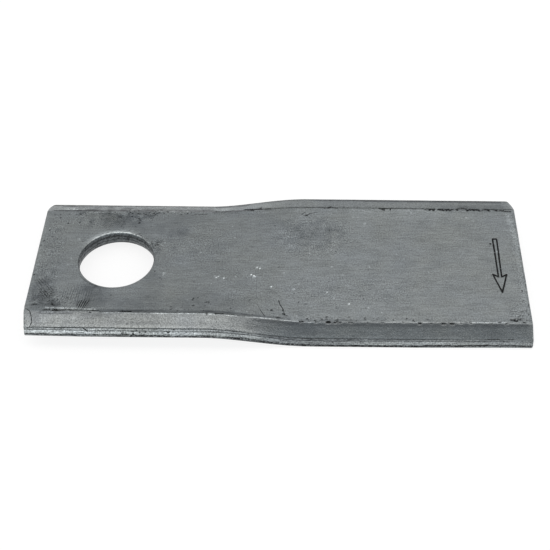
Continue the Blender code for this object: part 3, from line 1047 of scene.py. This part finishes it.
# Steel: bare, hardened and oiled, a cool mid grey. All finishes share one make-up of fine
# lengthwise rolling streaks, grain, mottling and pits, in amounts that differ.
class Wiring:
    """Short calls for the nodes and links of one node tree."""

    def __init__(self, tree):
        self.tree = tree

    def node(self, kind, inputs, **settings):
        made = self.tree.nodes.new(kind)
        for name, value in settings.items():
            setattr(made, name, value)
        for key, value in inputs.items():
            if isinstance(value, bpy.types.NodeSocket):
                self.tree.links.new(value, made.inputs[key])
            else:
                made.inputs[key].default_value = value
        return made

    def group(self, group, inputs):
        """A use of a node group, given its inputs by name, as its outputs."""
        return self.node("ShaderNodeGroup", inputs, node_tree=group).outputs

    def calc(self, operation, first, second=0.0, third=0.0):
        inputs = {0: first, 1: second, 2: third}
        return self.node("ShaderNodeMath", inputs, operation=operation).outputs[0]

    def clamp(self, value):
        return self.node("ShaderNodeClamp", {"Value": value}).outputs[0]

    def vector(self, operation, first, second, output=0):
        return self.node("ShaderNodeVectorMath", {0: first, 1: second}, operation=operation).outputs[output]

    def scaled(self, vector, amount):
        inputs = {0: vector, "Scale": amount}
        return self.node("ShaderNodeVectorMath", inputs, operation="SCALE").outputs[0]

    def stretched(self, place, scale):
        return self.vector("MULTIPLY", place, scale)

    def noise(self, place, detail):
        """Noise from about -1 to 1."""
        inputs = {"Vector": place, "Scale": 1.0, "Detail": detail, "Roughness": 0.6}
        plain = self.node("ShaderNodeTexNoise", inputs).outputs[0]
        return self.calc("MULTIPLY_ADD", plain, 4.0, -2.0)


def new_group(name, inputs, outputs):
    """An empty node group with named sockets, its wiring, and its input and output nodes."""
    group = bpy.data.node_groups.new(name, "ShaderNodeTree")
    for socket, kind in inputs:
        group.interface.new_socket(socket, in_out="INPUT", socket_type=kind)
    for socket, kind in outputs:
        group.interface.new_socket(socket, in_out="OUTPUT", socket_type=kind)
    given = group.nodes.new("NodeGroupInput").outputs
    result = group.nodes.new("NodeGroupOutput").inputs
    return group, Wiring(group), given, result


AMOUNTS = ("Streaks", "Grain", "Mottling", "Pits", "Flecks")
BLUEING = (-0.35, 0.0, 1.0)
group_inputs = [("Place", "NodeSocketVector"), ("Steel", "NodeSocketColor")]
group_inputs += [(amount, "NodeSocketFloat") for amount in AMOUNTS]
# The Dark, Bright and stain layers carry painted shade and painted highlights as well as marks
group_inputs += [(layer, "NodeSocketFloat") for layer in ("Dark", "Bright", "Stain", "Coarse")]
group_outputs = [("Color", "NodeSocketColor"), ("Marks And Shade", "NodeSocketFloat"), ("Height", "NodeSocketFloat")]
steel_group, wire, given, result = new_group("worked_steel", group_inputs, group_outputs)
streaks = wire.noise(wire.stretched(given["Place"], (0.3, 2.9, 2.9)), 2.0)
grain = wire.noise(wire.stretched(given["Place"], (2.9, 2.5, 2.5)), 1.0)
pepper = wire.noise(wire.stretched(given["Place"], (2.1, 1.9, 1.9)), 1.0)
fray = wire.noise(wire.stretched(given["Place"], (2.9, 3.4, 3.4)), 1.0)
mottles = wire.noise(wire.stretched(given["Place"], (0.22, 0.3, 0.3)), 2.0)
blueness = wire.noise(wire.stretched(given["Place"], (0.1, 0.14, 0.14)), 2.0)
cells = wire.node(
    "ShaderNodeTexVoronoi",
    {"Vector": wire.stretched(given["Place"], (0.8, 0.7, 0.8)), "Scale": 1.0, "Randomness": 1.0},
)
luck = wire.node("ShaderNodeSeparateColor", {0: cells.outputs["Color"]}).outputs


def spots(chance):
    """Small round spots in a few of the cells, of different sizes."""
    size = wire.calc("MULTIPLY", wire.calc("POWER", chance, 9.0), 0.26)
    edge = wire.calc("MULTIPLY", wire.calc("SUBTRACT", size, cells.outputs["Distance"]), 9.0)
    return wire.clamp(edge)


tone = wire.calc("MULTIPLY_ADD", streaks, given["Streaks"], 1.0)
graininess = wire.calc("MULTIPLY_ADD", given["Coarse"], 0.3, given["Grain"])
tone = wire.calc("MULTIPLY_ADD", grain, graininess, tone)
peppered = wire.clamp(wire.calc("MULTIPLY_ADD", pepper, 1.5, -0.9))
salted = wire.clamp(wire.calc("MULTIPLY_ADD", pepper, -1.5, -0.9))
tone = wire.calc("MULTIPLY_ADD", wire.calc("MULTIPLY", salted, given["Coarse"]), 0.6, tone)
tone = wire.calc("MULTIPLY_ADD", mottles, given["Mottling"], tone)
tone = wire.calc("MULTIPLY_ADD", spots(luck[1]), given["Flecks"], tone)
pitted = wire.calc("MULTIPLY", spots(luck[0]), given["Pits"])
frayed = wire.calc("MULTIPLY", given["Dark"], wire.calc("MULTIPLY_ADD", fray, 0.9, 1.9))
frayed = wire.clamp(wire.calc("SUBTRACT", frayed, 0.35))
darkening = wire.calc("MAXIMUM", pitted, frayed)
peppering = wire.calc("MULTIPLY", peppered, wire.calc("MULTIPLY", given["Coarse"], 0.6))
darkening = wire.calc("MAXIMUM", darkening, peppering)
tone = wire.calc("MULTIPLY", tone, wire.calc("MULTIPLY_ADD", darkening, -0.9, 1.0))
brightened = wire.calc("MULTIPLY", given["Bright"], wire.calc("MULTIPLY_ADD", fray, 0.7, 1.0))
tone = wire.calc("MULTIPLY", tone, wire.calc("ADD", brightened, 1.0))
patchy = wire.calc("MULTIPLY", given["Stain"], wire.calc("MULTIPLY_ADD", grain, 0.35, 1.0))
tone = wire.calc("MULTIPLY", tone, wire.calc("SUBTRACT", 1.0, patchy))
blue = wire.calc("MULTIPLY_ADD", given["Stain"], 0.07, wire.calc("MULTIPLY", blueness, 0.025))
tint = wire.vector("ADD", wire.scaled(BLUEING, blue), (1.0, 1.0, 1.0))
tinted = wire.vector("MULTIPLY", given["Steel"], tint)
wire.tree.links.new(wire.scaled(tinted, tone), result["Color"])
wire.tree.links.new(darkening, result["Marks And Shade"])
height = wire.calc("MULTIPLY_ADD", streaks, 0.3, wire.calc("MULTIPLY", pitted, -2.0))
height = wire.calc("ADD", height, grain)
wire.tree.links.new(height, result["Height"])

# A single scored line between two places
line_inputs = [(name, "NodeSocketVector") for name in ("Place", "Start", "End")]
line_inputs += [(name, "NodeSocketFloat") for name in ("Half Width", "Roughness", "Strength")]
line_group, wire, given, result = new_group("scored_line", line_inputs, [("Mask", "NodeSocketFloat")])
run = wire.vector("SUBTRACT", given["End"], given["Start"])
reach = wire.vector("SUBTRACT", given["Place"], given["Start"])
dots = [wire.vector("DOT_PRODUCT", side, run, "Value") for side in (reach, run)]
nearest = wire.scaled(run, wire.clamp(wire.calc("DIVIDE", *dots)))
away = wire.vector("DISTANCE", reach, nearest, "Value")
tearing = wire.noise(wire.stretched(given["Place"], (1.7, 1.7, 1.7)), 1.0)
away = wire.calc("MULTIPLY_ADD", tearing, given["Roughness"], away)
near = wire.calc("SUBTRACT", 1.5, wire.calc("DIVIDE", away, given["Half Width"]))
mask = wire.calc("MULTIPLY", wire.clamp(near), given["Strength"])
wire.tree.links.new(mask, result["Mask"])

# A patch of parallel scored lines, as a file or a chatter mark leaves them
patch_inputs = [("Place", "NodeSocketVector"), ("Middle", "NodeSocketVector")]
patch_inputs += [(name, "NodeSocketFloat") for name in ("Turn", "Length", "Breadth", "Spacing", "Strength")]
patch_group, wire, given, result = new_group("scored_patch", patch_inputs, [("Mask", "NodeSocketFloat")])
turned = wire.node(
    "ShaderNodeVectorRotate",
    {"Vector": given["Place"], "Center": given["Middle"], "Axis": (0.0, 0.0, 1.0), "Angle": given["Turn"]},
).outputs[0]
from_middle = wire.vector("SUBTRACT", turned, given["Middle"])
local = wire.node("ShaderNodeSeparateXYZ", {0: from_middle}).outputs
wobble = wire.noise(wire.stretched(turned, (0.25, 1.0, 0.0)), 1.0)
across = wire.calc("MULTIPLY_ADD", wobble, 0.3, wire.calc("DIVIDE", local[1], given["Spacing"]))
ridge = wire.calc("SINE", wire.calc("MULTIPLY", across, 2.0 * math.pi))
along = wire.calc("POWER", wire.calc("DIVIDE", local[0], given["Length"]), 2.0)
aside = wire.calc("POWER", wire.calc("DIVIDE", local[1], given["Breadth"]), 2.0)
fade = wire.calc("SUBTRACT", wire.calc("MULTIPLY_ADD", wobble, 0.4, 1.0), wire.calc("ADD", along, aside))
lines = wire.clamp(wire.calc("MULTIPLY_ADD", ridge, 1.2, 0.3))
mask = wire.calc("MULTIPLY", wire.calc("MULTIPLY", lines, wire.clamp(fade)), given["Strength"])
wire.tree.links.new(mask, result["Mask"])

# Lines, each from a place to another, a half width, a roughness and a strength
SCORED_LINES = (
    ((-60.5, -18.2), (-58.9, -18.35), 0.14, 0.3, 0.75),
    ((-58.8, -18.25), (-57.0, -18.5), 0.16, 0.3, 0.85),
    ((-57.0, -18.45), (-54.8, -18.3), 0.1, 0.2, 0.6),
    ((-65.0, -17.9), (-63.9, -18.6), 0.1, 0.05, 0.8),
    ((6.0, 16.2), (7.1, 17.0), 0.1, 0.04, 0.6),
    ((7.3, 15.8), (8.4, 16.5), 0.14, 0.08, 0.9),
    ((8.4, 16.5), (10.3, 17.0), 0.1, 0.06, 0.8),
    ((-0.2, -12.7), (0.1, -13.9), 0.11, 0.1, 0.8),
    ((0.1, -13.9), (1.0, -15.4), 0.12, 0.1, 0.9),
    ((1.0, -15.4), (1.3, -17.1), 0.12, 0.12, 0.8),
    ((-5.9, -14.4), (-4.9, -16.3), 0.06, 0.02, 0.6),
    ((-4.9, -16.3), (-3.8, -18.1), 0.08, 0.02, 0.9),
)
# Bright lines: most are painted highlights along the creases and bevels; rubbed spots join them below
HIGHLIGHT_AND_RUB_LINES = (
    ((-60.0, -17.55), (-57.9, -17.5), 0.1, 0.16, 1.7),
    ((-57.3, -17.75), (-54.6, -17.6), 0.1, 0.16, 1.7),
    ((-54.3, -17.7), (-50.5, -17.7), 0.08, 0.1, 1.5),
    ((-50.0, -17.9), (-47.0, -17.9), 0.08, 0.1, 1.6),
    ((-58.6, -18.1), (-57.6, -17.9), 0.08, 0.1, 1.5),
    ((-61.0, -19.0), (-57.8, -19.0), 0.1, 0.12, 1.4),
    ((-57.0, -19.0), (-53.0, -18.9), 0.08, 0.12, 1.0),
    ((-45.0, -18.9), (-40.5, -18.95), 0.07, 0.08, 1.0),
    ((-33.0, -19.0), (-11.0, -19.0), 0.1, 0.16, 1.3),
    ((6.4, -18.92), (11.8, -19.0), 0.08, 0.06, 0.9),
    ((-8.6, -18.85), (-5.4, -18.8), 0.1, 0.06, 1.4),
    ((-5.1, -18.75), (-0.6, -18.6), 0.1, 0.08, 1.4),
    ((0.2, -18.75), (4.9, -18.8), 0.09, 0.08, 1.2),
    ((49.8, -18.5), (58.4, -18.45), 0.08, 0.1, 1.2),
    ((35.0, 18.0), (56.0, 18.0), 0.08, 0.14, 0.35),
    ((-60.8, 19.8), (-57.2, 19.9), 0.16, 0.08, 0.9),
    ((-53.3, 18.3), (-43.0, 18.5), 0.1, 0.18, 0.6),
    ((-17.6, 20.0), (-10.0, 19.9), 0.22, 0.14, 0.6),
)

# Spots rubbed bright, and dark spots of scale, each drawn as a very short line
RUBBED_SPOTS = (
    (-16.8, -6.4),
    (-16.3, -6.0),
    (-14.8, -6.5),
    (-6.1, -2.3),
    (-5.3, -2.5),
    (-7.6, -4.8),
    (-6.9, -5.1),
    (-6.5, -5.5),
    (-2.2, -8.5),
    (3.7, -8.8),
    (12.4, -9.7),
    (18.1, -13.3),
)
HIGHLIGHT_AND_RUB_LINES += tuple(((x, y), (x + 0.15, y + 0.1), 0.13, 0.06, 2.6) for x, y in RUBBED_SPOTS)
DARK_SPOTS = (
    (-42.2, 18.4),
    (-41.5, 17.9),
    (-39.9, 17.9),
    (-39.2, 17.7),
    (-37.8, 17.5),
    (-35.5, 18.0),
    (-35.1, 17.5),
    (-34.0, 18.5),
    (-31.5, 18.5),
    (-39.5, 15.9),
    (-41.5, 16.6),
    (-27.8, 17.6),
    (-26.0, 18.2),
    (-59.2, 17.4),
    (-56.0, 17.4),
    (-39.2, 14.2),
)
SCORED_LINES += tuple(((x, y), (x + 0.2, y + 0.05), 0.15, 0.08, 0.9) for x, y in DARK_SPOTS)

# Nicks, grooves and dents of the bevels, with the outline of the knocked corner
EDGE_LINES = (
    ((-64.9, -18.0), (-63.9, -18.5), 0.11, 0.05, 0.9),
    ((-63.9, -18.5), (-63.3, -20.0), 0.1, 0.03, 0.8),
    ((-63.3, -20.0), (-62.95, -21.6), 0.1, 0.03, 0.8),
    ((-62.95, -21.6), (-63.4, -22.8), 0.1, 0.03, 0.8),
    ((-49.9, -22.85), (-48.7, -23.4), 0.08, 0.03, 0.75),
    ((-62.8, 18.95), (-54.0, 18.95), 0.13, 0.1, 0.8),
    ((-54.0, 18.95), (-45.0, 18.9), 0.09, 0.12, 0.6),
    ((-9.9, 19.45), (-7.4, 19.15), 0.3, 0.2, 1.0),
    ((-7.6, 19.15), (-5.2, 19.1), 0.24, 0.16, 1.0),
    ((-40.4, 19.6), (-39.6, 19.5), 0.14, 0.08, 0.8),
    ((-38.1, 19.9), (-37.3, 20.1), 0.14, 0.08, 0.8),
    ((-36.2, 19.3), (-34.9, 19.2), 0.16, 0.08, 0.85),
    ((-33.9, 20.3), (-33.2, 20.0), 0.18, 0.08, 0.85),
    ((-32.0, 19.7), (-30.6, 19.6), 0.12, 0.08, 0.7),
    ((-29.0, 20.2), (-27.6, 20.1), 0.1, 0.08, 0.6),
)

# Patches, each a middle, a turn in degrees, a length, a breadth, a spacing and a strength
SCORED_PATCHES = (
    ((-50.6, -16.2), 74.0, 2.2, 2.2, 0.55, 1.0),
    ((-61.0, -12.0), -52.0, 4.2, 3.4, 0.6, 0.5),
    ((-62.6, -8.6), -52.0, 2.4, 2.2, 0.7, 0.45),
    ((-60.6, -13.0), 38.0, 3.0, 3.4, 0.62, 0.5),
    ((-46.5, 15.0), 64.0, 4.2, 5.4, 0.45, 0.45),
    ((-52.5, -13.0), 84.0, 4.5, 8.0, 0.6, 0.4),
)


def steel_finish(name, color, roughness, amounts, bump, lines=(), patches=(), bright_lines=()):
    """A material for one finish of the steel."""
    material = bpy.data.materials.new(name)
    material.use_nodes = True
    tree = material.node_tree
    wire = Wiring(tree)
    shader = tree.nodes["Principled BSDF"]
    attributes = {}
    for attribute in ("flat", "dark", "bright", "stain_and_shade", "coarse"):
        attributes[attribute] = wire.node("ShaderNodeAttribute", {}, attribute_name=attribute).outputs
    place = attributes["flat"]["Vector"]
    seen_flat = wire.stretched(place, (1.0, 1.0, 0.0))

    def with_lines(mask, rows):
        """The mask with each of these lines laid over it."""
        for start, end, half, ruggedness, strength in rows:
            inputs = {"Place": seen_flat, "Start": (*start, 0.0), "End": (*end, 0.0)}
            inputs.update({"Half Width": half, "Roughness": ruggedness, "Strength": strength})
            mask = wire.calc("MAXIMUM", mask, wire.group(line_group, inputs)["Mask"])
        return mask

    dark_mask = with_lines(attributes["dark"]["Fac"], lines)
    bright_mask = with_lines(attributes["bright"]["Fac"], bright_lines)
    for middle, turn, length, breadth, spacing, strength in patches:
        inputs = {"Place": seen_flat, "Middle": (*middle, 0.0), "Turn": math.radians(-turn)}
        inputs.update({"Length": length, "Breadth": breadth, "Spacing": spacing, "Strength": strength})
        dark_mask = wire.calc("MAXIMUM", dark_mask, wire.group(patch_group, inputs)["Mask"])
    inputs = {"Place": place, "Steel": (*color, 1.0), "Dark": dark_mask}
    inputs.update({"Bright": bright_mask, "Stain": attributes["stain_and_shade"]["Fac"]})
    inputs["Coarse"] = attributes["coarse"]["Fac"]
    inputs.update(zip(AMOUNTS, amounts))
    surface = wire.group(steel_group, inputs)
    # Roughness rises with the darkening, painted shade included
    worn = wire.calc("MULTIPLY_ADD", surface["Marks And Shade"], 0.3, roughness)
    bump_inputs = {"Strength": 1.0, "Distance": bump * MM, "Height": surface["Height"]}
    bumped = wire.node("ShaderNodeBump", bump_inputs)
    tree.links.new(surface["Color"], shader.inputs["Base Color"])
    tree.links.new(worn, shader.inputs["Roughness"])
    tree.links.new(bumped.outputs[0], shader.inputs["Normal"])
    shader.inputs["Metallic"].default_value = 1.0
    return material


STEEL = (0.196, 0.212, 0.216)
# The wall's steel is set darker: painted shade inside the hole, besides its rougher finish
SHADED_WALL_STEEL = (0.095, 0.105, 0.11)
FINISHES = {
    "top": steel_finish(
        "rolled_face",
        STEEL,
        0.31,
        (0.19, 0.26, 0.07, 0.4, 0.6),
        0.005,
        lines=SCORED_LINES,
        patches=SCORED_PATCHES,
        bright_lines=HIGHLIGHT_AND_RUB_LINES,
    ),
    "underside": steel_finish("rolled_underside", STEEL, 0.34, (0.16, 0.26, 0.1, 0.5, 0.2), 0.005),
    "bevel": steel_finish(
        "ground_bevel",
        STEEL,
        0.27,
        (0.14, 0.2, 0.05, 0.4, 0.3),
        0.008,
        lines=EDGE_LINES,
        bright_lines=HIGHLIGHT_AND_RUB_LINES,
    ),
    "land": steel_finish("trimmed_land", STEEL, 0.3, (0.4, 0.55, 0.05, 0.6, 0.4), 0.014, EDGE_LINES),
    "wall": steel_finish("punched_wall", SHADED_WALL_STEEL, 0.42, (0.1, 0.4, 0.2, 0.7, 0.3), 0.02),
    "end": steel_finish("sheared_end", STEEL, 0.36, (0.05, 0.3, 0.1, 0.6, 0.3), 0.015),
}
for material in FINISHES.values():
    bar_mesh.materials.append(material)
finish_order = list(FINISHES)
bar_mesh.polygons.foreach_set("material_index", [finish_order.index(finish) for finish in skin.finishes])


# Floor: white paper under the blade, that keeps a faint shadow of it and shows the camera
# and the steel a plain white beyond.
FLOOR_HALF = 1.5
FLOOR_GLOW = 0.82

corners = [(FLOOR_HALF * x, FLOOR_HALF * y, 0.0) for x, y in ((-1, -1), (1, -1), (1, 1), (-1, 1))]
floor_mesh = bpy.data.meshes.new("floor")
floor_mesh.from_pydata(corners, [], [(0, 1, 2, 3)])
floor = bpy.data.objects.new("floor", floor_mesh)
bpy.context.scene.collection.objects.link(floor)
paper = bpy.data.materials.new("white_paper")
paper.use_nodes = True
paper_shader = paper.node_tree.nodes["Principled BSDF"]
paper_shader.inputs["Base Color"].default_value = (0.22, 0.22, 0.22, 1.0)
paper_shader.inputs["Roughness"].default_value = 1.0
paper_shader.inputs["Specular IOR Level"].default_value = 0.0
paper_shader.inputs["Emission Color"].default_value = (1.0, 1.0, 1.0, 1.0)
paper_shader.inputs["Emission Strength"].default_value = FLOOR_GLOW
floor_mesh.materials.append(paper)


# Light: a soft studio dome. A wide strip hangs overhead with its near side just in front
# of the blade, the space in front is darker, and a low front card lights the near edge.

# Each stop is a lean from straight overhead towards the camera, in degrees, a level, and
# how warm it is, below zero cooler
DOME_STOPS = (
    (-104, 0.88, 0.0),
    (-94, 0.93, 0.0),
    (-84, 1.3, 0.0),
    (-74, 0.78, 0.0),
    (-60, 0.86, 0.0),
    (-46, 0.98, 0.0),
    (-34, 1.02, 0.0),
    (-24, 1.08, 0.0),
    (-16, 1.5, 0.5),
    (-10, 1.95, 1.0),
    (1, 1.98, 1.0),
    (6, 0.45, -1.2),
    (45, 0.5, -1.2),
    (68, 1.5, 0.0),
    (80, 2.0, 0.0),
    (100, 2.0, 0.0),
)
DOME_TOP = 2.1

world = bpy.data.worlds.new("studio")
bpy.context.scene.world = world
world.use_nodes = True
wire = Wiring(world.node_tree)
direction = wire.node("ShaderNodeTexCoord", {}).outputs["Generated"]
parts = wire.node("ShaderNodeSeparateXYZ", {0: direction}).outputs
lean = wire.calc("ARCTAN2", wire.calc("MULTIPLY", parts["Y"], -1.0), parts["Z"])
ramp = wire.node("ShaderNodeValToRGB", {0: wire.calc("MULTIPLY_ADD", lean, 0.5 / math.pi, 0.5)})
stops = ramp.color_ramp.elements
while len(stops) < len(DOME_STOPS):
    stops.new(0.5)
for stop, (degrees, level, warmth) in zip(stops, DOME_STOPS):
    part = level / DOME_TOP
    stop.position = 0.5 + degrees / 360.0
    stop.color = (part * (1.0 + 0.04 * warmth), part, part * (1.0 - 0.03 * warmth), 1.0)
backdrop = world.node_tree.nodes["Background"]
world.node_tree.links.new(ramp.outputs["Color"], backdrop.inputs["Color"])
backdrop.inputs["Strength"].default_value = DOME_TOP

bpy.context.scene.view_settings.view_transform = "Standard"
